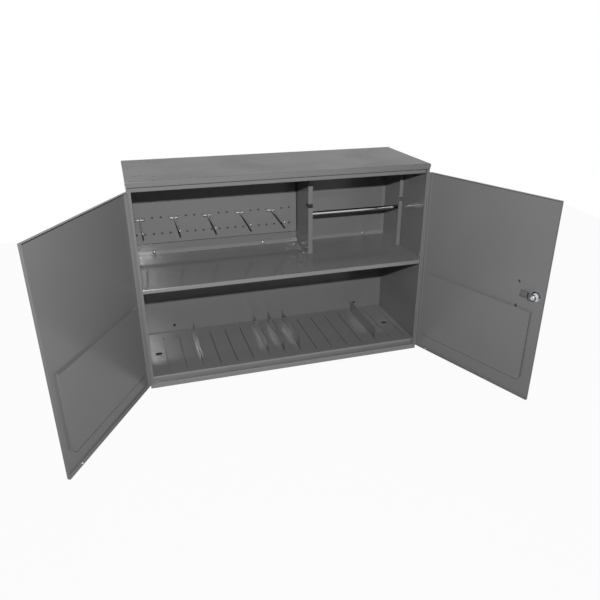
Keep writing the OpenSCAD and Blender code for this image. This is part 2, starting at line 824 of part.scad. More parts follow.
// Shallow door pan: a skin with four flanges turned to the cabinet, its outer edges folded round
module door_pan(drain_s) {
    r = fold_r + door_t;
    difference() {
        intersection() {
            translate([0, 0, door_z0])
                linear_extrude(door_h)
                    polygon(concat([[door_w, door_in], [door_edge, door_in]],
                        arc([door_edge + r, door_out + r], r, 180, 270, 5),
                        arc([door_w - r, door_out + r], r, 270, 360, 5)));
            along_x(door_w, 0)
                polygon(concat([[door_in, door_z1], [door_in, door_z0]],
                    arc([door_out + r, door_z0 + r], r, 270, 180, 5),
                    arc([door_out + r, door_z1 - r], r, 180, 90, 5)));
        }
        intersection() {
            translate([0, 0, door_z0])
                linear_extrude(door_h)
                    polygon(concat([[door_w - door_t, door_in + cut], [door_edge + door_t, door_in + cut]],
                        arc([door_edge + r, door_out + r], fold_r, 180, 270, 5),
                        arc([door_w - r, door_out + r], fold_r, 270, 360, 5)));
            along_x(door_w, 0)
                polygon(concat([[door_in + cut, door_z1 - door_t], [door_in + cut, door_z0 + door_t]],
                    arc([door_out + r, door_z0 + r], fold_r, 270, 180, 5),
                    arc([door_out + r, door_z1 - r], fold_r, 180, 90, 5)));
        }
        translate([drain_s, (door_in + door_out) / 2, door_z0 - cut])
            cylinder(d = drain_d, h = door_t + 2 * cut, $fn = 24);
    }
}

module door_left() {
    color(paint)
        on_left_door()
            door_pan(door_w - drain_left);
}

module door_right() {
    color(paint)
        on_right_door()
            difference() {
                door_pan(drain_right);
                translate([lock_s, 0, z_lock])
                    bar_y(door_out - cut, door_in, barrel_d + 2 * cut, 48);
                for (side = [-1, 1])
                    translate([handle_s, 0, z_handle + side * handle_span / 2])
                        bar_y(door_out - cut, door_in, shank_d + 2 * cut, 24);
            }
}

// Literature pocket: a plate with flanges to the door's skin at its sides and foot, open at the top
module pocket() {
    z0 = z_bot + pocket_z;
    y0 = door_skin;
    y1 = door_in - cut;
    foot_line = [[pocket_side, z0 + pocket_bevel], [pocket_side + pocket_bevel, z0],
        [pocket_side + pocket_w - pocket_bevel, z0], [pocket_side + pocket_w, z0 + pocket_bevel]];
    function inset(p, d) = [[p[0][0] + d, p[0][1] + d * 0.41], [p[1][0] + d * 0.41, p[1][1] + d],
        [p[2][0] - d * 0.41, p[2][1] + d], [p[3][0] - d, p[3][1] + d * 0.41]];
    function plate(d, top) = concat(inset(foot_line, d), [[pocket_side + pocket_w - d, top],
        [pocket_side + d, top]]);
    difference() {
        along_y(y0, y1)
            polygon(plate(0, z0 + pocket_h));
        along_y(y0 + pocket_t, y1 - pocket_t)
            polygon(plate(pocket_t, z0 + pocket_h + cut));
        // Open back behind the weld flanges
        along_y(y0 - cut, y0 + 2 * pocket_t)
            polygon(plate(weld_flange_w, z0 + pocket_h + cut));
    }
}

module pocket_left() {
    color(paint)
        on_left_door()
            pocket();
}

module pocket_right() {
    color(paint)
        on_right_door()
            pocket();
}

// Knuckles of one hinge leaf: the case's leaf has the even ones and the door's leaf the odd ones
module knuckle_row(first) {
    for (k = [first : 2 : knuckles - 1])
        translate([0, 0, door_z0 + k * knuckle_len + knuckle_gap / 2])
            difference() {
                cylinder(d = knuckle_d, h = knuckle_len - knuckle_gap, $fn = 32);
                translate([0, 0, -cut])
                    cylinder(d = hinge_pin_d + 2 * running_gap, h = knuckle_len, $fn = 32);
            }
}

// Leaf with its knuckles, cut away where the other leaf's knuckles turn
module case_leaf() {
    r = knuckle_d / 2;
    difference() {
        union() {
            box([0, r - leaf_t, door_z0], [side_flange_w - hinge_in, r, door_z1]);
            knuckle_row(0);
        }
        for (k = [1 : 2 : knuckles - 1])
            box([-r, -r, door_z0 + k * knuckle_len - knuckle_gap / 2],
                [r + sheet_gap, r + cut, door_z0 + (k + 1) * knuckle_len + knuckle_gap / 2]);
        translate([0, 0, door_z0 - cut])
            cylinder(d = hinge_pin_d + 2 * running_gap, h = door_h + 2 * cut, $fn = 32);
    }
}

module door_leaf() {
    r = knuckle_d / 2;
    difference() {
        union() {
            box([r - leaf_t, door_out + fold_r + door_t, door_z0], [r, 0, door_z1]);
            knuckle_row(1);
        }
        for (k = [0 : 2 : knuckles - 1])
            box([-r, -r - sheet_gap, door_z0 + k * knuckle_len - knuckle_gap / 2],
                [r + cut, r, door_z0 + (k + 1) * knuckle_len + knuckle_gap / 2]);
        translate([0, 0, door_z0 - cut])
            cylinder(d = hinge_pin_d + 2 * running_gap, h = door_h + 2 * cut, $fn = 32);
    }
}

module hinge_pin() {
    translate([0, 0, door_z0 + sheet_gap])
        cylinder(d = hinge_pin_d, h = door_h - 2 * sheet_gap, $fn = 32);
}

module hinge_case_leaf_left() {
    color(paint)
        translate([-hinge_x, hinge_y, 0])
            case_leaf();
}

module hinge_case_leaf_right() {
    color(paint)
        translate([hinge_x, hinge_y, 0])
            mirror([1, 0, 0])
                case_leaf();
}

module hinge_door_leaf_left() {
    color(paint)
        on_left_door()
            door_leaf();
}

module hinge_door_leaf_right() {
    color(paint)
        on_right_door()
            door_leaf();
}

module hinge_pin_left() {
    color(zinc)
        translate([-hinge_x, hinge_y, 0])
            hinge_pin();
}

module hinge_pin_right() {
    color(zinc)
        translate([hinge_x, hinge_y, 0])
            hinge_pin();
}

// Lock barrel with its flange outside the door
module lock_housing() {
    flange_t = 3;
    color(bright)
        on_right_door()
            translate([lock_s, 0, z_lock])
                difference() {
                    union() {
                        bar_y(door_out, barrel_end, barrel_d, 56);
                        translate([0, door_out, 0])
                            rotate([90, 0, 0])
                                rotate_extrude($fn = 56)
                                    polygon([[0, 0], [lock_flange_d / 2, 0],
                                        [lock_flange_d / 2, flange_t / 3],
                                        [lock_flange_d / 2 - flange_t / 2, flange_t], [0, flange_t]]);
                    }
                    bar_y(door_out - flange_t - cut, barrel_end + cut, plug_d + 2 * running_gap, 48);
                }
}

module lock_nut() {
    color(bright)
        on_right_door()
            translate([lock_s, 0, z_lock])
                difference() {
                    intersection() {
                        bar_y(door_skin, door_skin + lock_nut_h, lock_nut_w / cos(30), 6);
                        bar_y(door_skin - cut, door_skin + lock_nut_h + cut, lock_nut_w * 1.09, 56);
                    }
                    bar_y(door_skin - cut, door_skin + lock_nut_h + cut, barrel_d, 56);
                }
}

// Plug with the key slot, which carries the cam on a square
module lock_plug() {
    square_w = plug_d * 0.62;
    color(bright)
        on_right_door()
            translate([lock_s, 0, z_lock])
                difference() {
                    union() {
                        bar_y(door_out - 3, barrel_end, plug_d, 48);
                        box([-square_w / 2, barrel_end, -square_w / 2],
                            [square_w / 2, barrel_end + cam_t + sheet_gap, square_w / 2]);
                    }
                    bar_y(barrel_end - cam_bolt_len, barrel_end + 2 * cam_t, shank_d, 24);
                    box([-1, door_out - 3 - cut, -plug_d * 0.34], [1, door_out + 5, plug_d * 0.34]);
                }
}

// Cam: a round hub, a joggle towards the door and a straight tip
module lock_cam() {
    square_w = plug_d * 0.62 + 2 * cut;
    hub_y = barrel_end + sheet_gap;
    joggle_s = 13;
    color(black_zinc)
        on_right_door()
            translate([lock_s, 0, z_lock])
                difference() {
                    intersection() {
                        translate([0, 0, -cam_w / 2])
                            linear_extrude(cam_w)
                                folded([[-cam_len, cam_in], [-joggle_s - 6, cam_in], [-joggle_s, hub_y],
                                    [cam_w / 2, hub_y]], cam_t, 0.8);
                        along_y(cam_in - cut, hub_y + cam_t + cut)
                            polygon(concat([[-cam_len, -cam_w / 2 + 3]],
                                arc([-cam_len + 3, -cam_w / 2 + 3], 3, 180, 270, 5),
                                arc([0, 0], cam_w / 2, -90, 90, 16),
                                arc([-cam_len + 3, cam_w / 2 - 3], 3, 90, 180, 5)));
                    }
                    box([-square_w / 2, cam_in, -square_w / 2],
                        [square_w / 2, hub_y + 2 * cam_t, square_w / 2]);
                }
}

module cam_bolt() {
    head_d = 13;
    color(bright)
        on_right_door()
            translate([lock_s, barrel_end + sheet_gap + cam_t, z_lock])
                rotate([-90, 0, 0])
                    rotate_extrude($fn = 48)
                        polygon(concat([[0, -cam_bolt_len], [shank_d / 2, -cam_bolt_len],
                            [shank_d / 2, 0], [head_d / 2, 0], [head_d / 2, 1]],
                            arc([head_d / 2 - 2, 1], 2, 0, 90, 4), [[0, 3]]));
}

// Pull handle: a bowed bar between two feet, outside the right door
module pull_handle() {
    bend_r = 12;
    half = handle_span / 2;
    color(bright)
        on_right_door()
            translate([handle_s, door_out, z_handle])
                difference() {
                    union() {
                        for (side = [0, 1])
                            mirror([0, 0, side]) {
                                translate([0, 0, half]) {
                                    bar_y(-handle_reach + bend_r, 0, handle_d);
                                    bar_y(-2.5, 0, handle_d + 5);
                                }
                                translate([0, -handle_reach + bend_r, half - bend_r])
                                    rotate([0, -90, 180])
                                        wire_elbow(bend_r, handle_d);
                            }
                        translate([0, -handle_reach, -half + bend_r])
                            cylinder(d = handle_d, h = handle_span - 2 * bend_r, $fn = 32);
                    }
                    for (side = [-1, 1])
                        translate([0, 0, side * half])
                            bar_y(-handle_grip, cut, screw_d, 24);
                }
}

module handle_screws() {
    color(black_zinc)
        on_right_door()
            for (side = [-1, 1])
                translate([handle_s, door_skin, z_handle + side * handle_span / 2])
                    rotate([-90, 0, 0])
                        difference() {
                            dome_fastener(door_t + handle_grip - 1, screw_d, screw_head_d);
                            translate([-0.6, -dome_d, dome_h * 0.4])
                                cube([1.2, 2 * dome_d, dome_h]);
                        }
}

body_wrap();
top_lid();
floor_pan();
top_stop();
bottom_stop();
shelf();
shelf_rivets();
shelf_screws();
peg_panel();
for (i = [1 : 5]) peg_hook(i);
roll_bracket_left();
roll_bracket_right();
bracket_rivet();
rod_tube();
rod_end_plug();
rod_plunger();
rod_spring();
slotted_tray();
for (i = [1 : 5]) divider(i);
door_left();
door_right();
pocket_left();
pocket_right();
hinge_case_leaf_left();
hinge_case_leaf_right();
hinge_door_leaf_left();
hinge_door_leaf_right();
hinge_pin_left();
hinge_pin_right();
lock_housing();
lock_nut();
lock_plug();
lock_cam();
cam_bolt();
pull_handle();
handle_screws();
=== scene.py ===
"""Looks of the wall-mounted tool cabinet.

Folded steel sheet under a grey semi-gloss powder coat, with plated wire hooks, a plated rod, a
cylinder lock and a bow handle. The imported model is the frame. Most pieces keep its solids and get
their finish here. The wire hooks, the rod's spring, the lock's barrel and the bow handle are
modelled over theirs.

Places and sizes are in millimetres in the cabinet's own frame: x to the right, y to the back and
z up, from the middle of the back face.
"""

import json
import logging
import math
from collections.abc import Iterable, Sequence
from dataclasses import dataclass
from enum import Enum

import bpy
from mathutils import Matrix, Vector

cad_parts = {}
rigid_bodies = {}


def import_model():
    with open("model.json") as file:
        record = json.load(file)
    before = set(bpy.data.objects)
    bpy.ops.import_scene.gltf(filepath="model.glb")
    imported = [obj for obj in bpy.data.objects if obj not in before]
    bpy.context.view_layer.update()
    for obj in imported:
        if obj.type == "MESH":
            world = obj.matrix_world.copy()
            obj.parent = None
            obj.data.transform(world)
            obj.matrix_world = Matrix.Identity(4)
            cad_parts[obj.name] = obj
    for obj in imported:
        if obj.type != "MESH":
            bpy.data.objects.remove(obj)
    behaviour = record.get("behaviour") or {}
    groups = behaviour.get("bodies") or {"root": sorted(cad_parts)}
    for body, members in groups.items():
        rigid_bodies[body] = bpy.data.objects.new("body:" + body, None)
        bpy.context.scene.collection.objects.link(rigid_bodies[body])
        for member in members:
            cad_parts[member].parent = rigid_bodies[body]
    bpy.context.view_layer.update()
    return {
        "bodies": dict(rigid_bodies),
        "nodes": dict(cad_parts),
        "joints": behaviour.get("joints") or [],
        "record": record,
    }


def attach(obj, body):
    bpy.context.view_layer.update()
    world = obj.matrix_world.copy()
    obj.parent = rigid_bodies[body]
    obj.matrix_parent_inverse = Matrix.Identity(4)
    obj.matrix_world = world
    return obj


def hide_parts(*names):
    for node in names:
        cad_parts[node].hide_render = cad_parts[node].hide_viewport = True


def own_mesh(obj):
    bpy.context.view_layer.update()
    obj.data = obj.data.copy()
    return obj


LOG = logging.getLogger("cabinet")
MM = 0.001
IMAGE_PX = 600
WHITE = (1.0, 1.0, 1.0, 1.0)

Tree = bpy.types.NodeTree
Socket = bpy.types.NodeSocket
Colour = tuple[float, float, float, float]
Triple = tuple[float, float, float]
Range = tuple[float, float]
Profile = Sequence[tuple[float, float]]


def linear(hex_colour: str) -> Colour:
    """Turns an sRGB hex colour into linear RGBA.

    Args:
        hex_colour: Six hex digits, such as "6b6c6d".

    Returns:
        Linear red, green and blue, with an alpha of 1.
    """
    channels = [int(hex_colour[i:i + 2], 16) / 255 for i in (0, 2, 4)]
    # The numbers are those of the sRGB standard
    light = [c / 12.92 if c <= 0.04045 else ((c + 0.055) / 1.055) ** 2.4 for c in channels]
    return (*light, 1.0)


def add_node(tree: Tree, kind: str, inputs: dict | None = None,
             **settings: object) -> bpy.types.Node:
    """Adds a node, sets it up and links it.

    Args:
        tree: The node tree that gets the node.
        kind: The node's type name.
        inputs: Values or output sockets, by the name or number of the input that takes them.
        **settings: Properties of the node itself.

    Returns:
        The new node.
    """
    node = tree.nodes.new(kind)
    for name, value in settings.items():
        setattr(node, name, value)
    for name, value in (inputs or {}).items():
        if isinstance(value, Socket):
            tree.links.new(value, node.inputs[name])
        else:
            node.inputs[name].default_value = value
    return node


def calculate(tree: Tree, operation: str, *values: Socket | float) -> Socket:
    """Adds a Math node and gives its result.

    Args:
        tree: The node tree that gets the node.
        operation: The node's operation.
        *values: Numbers or output sockets, in the order of the node's inputs.

    Returns:
        The result's socket.
    """
    return add_node(tree, "ShaderNodeMath", dict(enumerate(values)),
                    operation=operation).outputs["Value"]


def combine(tree: Tree, operation: str, values: Sequence[Socket]) -> Socket:
    """Joins several values with one operation.

    Args:
        tree: The node tree that gets the nodes.
        operation: A Math node's operation with two inputs.
        values: The values, at least one.

    Returns:
        The last result's socket.
    """
    result = values[0]
    for value in values[1:]:
        result = calculate(tree, operation, result, value)
    return result


def spread(tree: Tree, value: Socket, source: Range, target: Range,
           curve: str = "LINEAR") -> Socket:
    """Maps one range of a value onto another.

    Args:
        tree: The node tree that gets the node.
        value: The value.
        source: The value's own range. Past its ends the result stays level.
        target: What the ends of that range become.
        curve: How the result runs between them.

    Returns:
        The result's socket.
    """
    return add_node(tree, "ShaderNodeMapRange", {
        "Value": value, "From Min": source[0], "From Max": source[1],
        "To Min": target[0], "To Max": target[1]}, interpolation_type=curve).outputs["Result"]


def mix_colours(tree: Tree, share: Socket, first: Socket | Colour,
                second: Socket | Colour) -> Socket:
    """Mixes two colours.

    Args:
        tree: The node tree that gets the node.
        share: The second colour's share.
        first: A colour or its socket.
        second: A colour or its socket.

    Returns:
        The mixed colour's socket.
    """
    return add_node(tree, "ShaderNodeMix", {"Factor": share, "A": first, "B": second},
                    data_type="RGBA").outputs["Result"]


def per_metre(size_mm: float) -> float:
    """Gives the texture scale at which one feature is size_mm wide."""
    return 1 / (size_mm * MM)


def noise(tree: Tree, place: Socket, scale: float, detail: float, roughness: float = 0.5) -> Socket:
    """Adds a noise texture.

    Args:
        tree: The node tree that gets the node.
        place: The coordinates that it is drawn on.
        scale: Features per unit of those coordinates.
        detail: Number of finer layers.
        roughness: How strong each finer layer is, against the one before.

    Returns:
        The noise's socket, mostly between 0.3 and 0.7.
    """
    return add_node(tree, "ShaderNodeTexNoise", {
        "Vector": place, "Scale": scale, "Detail": detail, "Roughness": roughness}).outputs["Fac"]


def new_material(name: str) -> tuple[bpy.types.Material, Tree]:
    """Makes an empty node material.

    Args:
        name: Name of the material.

    Returns:
        The material and its cleared node tree.
    """
    material = bpy.data.materials.new(name)
    material.use_nodes = True
    material.node_tree.nodes.clear()
    return material, material.node_tree


@dataclass(frozen=True)
class PowderCoat:
    """Semi-gloss polyester powder coat on steel sheet.

    The film flows before it sets, which leaves a slight orange peel that softens reflections. It
    lies a little thinner, and looks a little darker, in some places than in others.
    """

    name: str = "grey_powder_coat"
    colour: str = "6e6e6f"
    thin_colour: str = "69696a"
    smooth: float = 0.16  # roughness where the film is at its smoothest
    dull: float = 0.24  # roughness where it is at its dullest
    shine: float = 0.16  # strength of its reflections
    refraction: float = 1.5
    cloud_mm: float = 160.0
    cloud_edges: Range = (0.3, 0.7)  # noise values of the smoothest and dullest places
    grit_mm: float = 1.6
    grit_edges: Range = (0.3, 0.7)
    grit_tones: Range = (0.97, 1.03)  # what the colour is multiplied by at those edges
    peel_mm: float = 5.0  # about 1 mm on the real sheet, drawn coarser so that it shows
    peel_depth: float = 0.05
    painted_shade_from: Triple | None = None  # lowest corner of the box that gets a painted shade
    painted_shade_to: Triple | None = None  # its highest corner
    # colour of the painted shade in that box
    painted_shade_colour: str = "464647"
    welds: tuple[tuple[float, float], ...] = ()  # x and y of each spot weld
    weld_radius: float = 6.5
    weld_depth: float = 6.0  # in heights of the orange peel
    weld_colour: str = "3c3c3d"

    def painted_shade_share(self, tree: Tree, place: Socket) -> Socket:
        """Marks the box of the sheet that gets a painted shade, standing in for the shade behind
        the peg panel.

        Args:
            tree: The node tree that gets the test.
            place: Object coordinates.

        Returns:
            A socket that is 1 inside the box and 0 outside it.
        """
        axes = add_node(tree, "ShaderNodeSeparateXYZ", {"Vector": place}).outputs
        inside = [
            calculate(tree, "COMPARE", axes[axis], (low + high) / 2 * MM, (high - low) / 2 * MM)
            for axis, low, high in zip("XYZ", self.painted_shade_from, self.painted_shade_to)]
        return combine(tree, "MULTIPLY", inside)

    def weld_share(self, tree: Tree, place: Socket) -> Socket:
        """Marks the round dents that spot welds leave in a level sheet.

        Args:
            tree: The node tree that gets the test.
            place: Object coordinates.

        Returns:
            A socket that is 1 in the middle of a dent and 0 outside all of them.
        """
        level = add_node(tree, "ShaderNodeVectorMath", {0: place, 1: (1, 1, 0)},
                         operation="MULTIPLY").outputs["Vector"]
        away = [
            add_node(tree, "ShaderNodeVectorMath", {0: level, 1: (x * MM, y * MM, 0)},
                     operation="DISTANCE").outputs["Value"]
            for x, y in self.welds]
        rim = self.weld_radius * MM
        return spread(tree, combine(tree, "MINIMUM", away), (rim / 2, rim), (1, 0), "SMOOTHSTEP")

    def build(self) -> bpy.types.Material:
        """Makes the material.

        Returns:
            A dielectric coat with cloudy colour, uneven gloss and orange peel.
        """
        material, tree = new_material(self.name)
        place = add_node(tree, "ShaderNodeTexCoord").outputs["Object"]
        cloud = noise(tree, place, per_metre(self.cloud_mm), detail=3.0, roughness=0.55)
        grit = noise(tree, place, per_metre(self.grit_mm), detail=2.0, roughness=0.6)
        height = noise(tree, place, per_metre(self.peel_mm), detail=1.0, roughness=0.4)
        tone = mix_colours(tree, cloud, linear(self.colour), linear(self.thin_colour))
        speck = spread(tree, grit, self.grit_edges, self.grit_tones)
        colour = add_node(tree, "ShaderNodeVectorMath", {0: tone, "Scale": speck},
                          operation="SCALE").outputs["Vector"]
        # Painted shade: the box behind the peg panel gets a darker colour, standing in for the
        # shade there
        if self.painted_shade_from:
            colour = mix_colours(tree, self.painted_shade_share(tree, place), colour, linear(self.painted_shade_colour))
        if self.welds:
            dent = self.weld_share(tree, place)
            colour = mix_colours(tree, dent, colour, linear(self.weld_colour))
            height = calculate(tree, "MULTIPLY_ADD", dent, -self.weld_depth, height)
        gloss = spread(tree, cloud, self.cloud_edges, (self.smooth, self.dull))
        bump = add_node(tree, "ShaderNodeBump", {
            "Height": height, "Strength": self.peel_depth, "Distance": MM})
        shader = add_node(tree, "ShaderNodeBsdfPrincipled", {
            "Base Color": colour, "Roughness": gloss, "Normal": bump.outputs["Normal"],
            "IOR": self.refraction, "Specular IOR Level": self.shine})
        add_node(tree, "ShaderNodeOutputMaterial", {"Surface": shader.outputs["BSDF"]})
        return material


@dataclass(frozen=True)
class PlatedSteel:
    """Steel under a thin plated metal film.

    The film copies the drawn or turned surface below it, so fine lines run along the work, and
    handling leaves faint dull clouds.
    """

    name: str
    colour: str
    dull_colour: str
    smooth: float  # roughness where the film is at its smoothest
    dull: float  # roughness where it is at its dullest
    metal: float = 1.0  # how far it mirrors as bare metal does
    cloud_mm: float = 12.0
    cloud_edges: Range = (0.35, 0.65)  # noise values of the smoothest and dullest places
    line_mm: Triple = (6.0, 6.0, 6.0)  # a line's size along each axis
    line_depth: float = 0.05
    line_height: float = 0.3

    def build(self) -> bpy.types.Material:
        """Makes the material.

        Returns:
            A metal with cloudy tint, uneven gloss and drawn lines.
        """
        material, tree = new_material(self.name)
        place = add_node(tree, "ShaderNodeTexCoord").outputs["Object"]
        cloud = noise(tree, place, per_metre(self.cloud_mm), detail=4.0, roughness=0.6)
        stretch = add_node(tree, "ShaderNodeMapping", {
            "Vector": place, "Scale": [per_metre(size) for size in self.line_mm]})
        lines = noise(tree, stretch.outputs["Vector"], scale=1.0, detail=2.0)
        bump = add_node(tree, "ShaderNodeBump", {
            "Height": lines, "Strength": self.line_depth, "Distance": self.line_height * MM})
        shader = add_node(tree, "ShaderNodeBsdfPrincipled", {
            "Base Color": mix_colours(tree, cloud, linear(self.colour), linear(self.dull_colour)),
            "Metallic": self.metal, "Normal": bump.outputs["Normal"],
            "Roughness": spread(tree, cloud, self.cloud_edges, (self.smooth, self.dull))})
        add_node(tree, "ShaderNodeOutputMaterial", {"Surface": shader.outputs["BSDF"]})
        return material


def seen_straight(tree: Tree) -> Socket:
    """Tells rays that show a surface from rays that only light others.

    Args:
        tree: The node tree that gets the test.

    Returns:
        A socket that is 1 for camera, glossy and transmission rays.
    """
    path = add_node(tree, "ShaderNodeLightPath").outputs
    return combine(tree, "MAXIMUM", [
        path["Is Camera Ray"], path["Is Glossy Ray"], path["Is Transmission Ray"]])


@dataclass(frozen=True)
class PaleFloor:
    """Pale matt floor that shows as almost plain white to the camera and in reflections."""

    name: str = "pale_floor"
    colour: str = "f2f2f2"
    white_share: float = 0.96

    def build(self) -> bpy.types.Material:
        """Makes the material.

        Returns:
            A matt surface, mixed with even white for camera, glossy and transmission rays.
        """
        material, tree = new_material(self.name)
        share = calculate(tree, "MULTIPLY", seen_straight(tree), self.white_share)
        matt = add_node(tree, "ShaderNodeBsdfDiffuse", {"Color": linear(self.colour)})
        white = add_node(tree, "ShaderNodeEmission", {"Color": WHITE, "Strength": 1.0})
        mix = add_node(tree, "ShaderNodeMixShader", {
            0: share, 1: matt.outputs["BSDF"], 2: white.outputs["Emission"]})
        add_node(tree, "ShaderNodeOutputMaterial", {"Surface": mix.outputs["Shader"]})
        return material


class Finish(Enum):
    """The finishes of the cabinet, each with what makes it."""

    PAINT = PowderCoat()
    # The back behind the peg panel gets a painted shade: a dark patch that stands in for the shade
    # seen through the peg holes
    SHADED_PAINT = PowderCoat("grey_powder_coat_with_painted_shade", "69696a", "646465", smooth=0.15,
                              dull=0.21, shine=0.33, painted_shade_from=(-420.7, -1.7, 48.0),
                              painted_shade_to=(101.5, -1.3, 273.0))
    # Dust and handling dull the lid, and the spot welds that hold it show as dents near its ends
    LID_PAINT = PowderCoat("dusty_grey_powder_coat", smooth=0.2, dull=0.3, shine=0.05, welds=(
        (-395.0, -38.0), (-349.5, -43.7), (-398.7, -238.0), (-381.7, -228.0), (-350.7, -243.4),
        (391.9, -230.3)))
    # The tray, the shelf, the floor and the dividers have a glossier coat than the doors
    GLOSSY_PAINT = PowderCoat("fresh_grey_powder_coat", "737374", "6e6e6f", smooth=0.12, dull=0.18,
                              shine=0.55)
    DIVIDER_PAINT = PowderCoat("dark_fresh_grey_powder_coat", "606061", "5c5c5d", smooth=0.12,
                               dull=0.18, shine=0.55)
    CHROME = PlatedSteel("bright_chrome_plate", "c9cacc", "b4b5b8", smooth=0.12, dull=0.22,
                         line_mm=(60.0, 1.5, 1.5))
    WIRE = PlatedSteel("bright_plated_wire", "bcbdbf", "a3a5a8", smooth=0.42, dull=0.56,
                       metal=0.4, line_mm=(1.5, 60.0, 1.5))
    ZINC = PlatedSteel("zinc_plate", "b3b6ba", "9c9fa4", smooth=0.28, dull=0.42, line_depth=0.12)
    SPRING = PlatedSteel("plain_spring_wire", "96989c", "7f8185", smooth=0.3, dull=0.4)
    CAM = PlatedSteel("dull_zinc_plate", "75777a", "5f6063", smooth=0.24, dull=0.36,
                      line_mm=(4.0, 4.0, 4.0))
    BLACK = PlatedSteel("black_oxide_steel", "4a4a4d", "3c3c3e", smooth=0.4, dull=0.55,
                        line_mm=(4.0, 4.0, 4.0))


class Workshop:
    """Keeps one material for each finish and dresses nodes and pieces."""

    def __init__(self, nodes: dict[str, bpy.types.Object]) -> None:
        """Starts with no materials.

        Args:
            nodes: The frame's objects, by node name.
        """
        self.nodes = nodes
        self.materials: dict[Finish, bpy.types.Material] = {}
        self.dressed: set[str] = set()

    def material(self, finish: Finish) -> bpy.types.Material:
        """Gives a finish's material, made at its first use."""
        if finish not in self.materials:
            self.materials[finish] = finish.value.build()
        return self.materials[finish]

    def dress(self, finish: Finish, names: Iterable[str]) -> None:
        """Gives a finish to nodes of the frame.

        Args:
            finish: The finish.
            names: The nodes that get it.
        """
        for name in names:
            slots = self.nodes[name].data.materials
            slots.clear()
            slots.append(self.material(finish))
            self.dressed.add(name)
            LOG.info("node %s: %s", name, self.material(finish).name)

    def supply(self, finish: Finish, piece: bpy.types.Object, names: Sequence[str],
               body: str) -> None:
        """Gives a modelled piece its finish and puts it in place of nodes of the frame.

        Args:
            finish: The piece's finish.
            piece: The modelled piece.
            names: The nodes that it stands for.
            body: The body that it rides on.
        """
        piece.data.materials.clear()
        piece.data.materials.append(self.material(finish))
        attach(piece, body)
        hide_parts(*names)
        self.dressed.update(names)


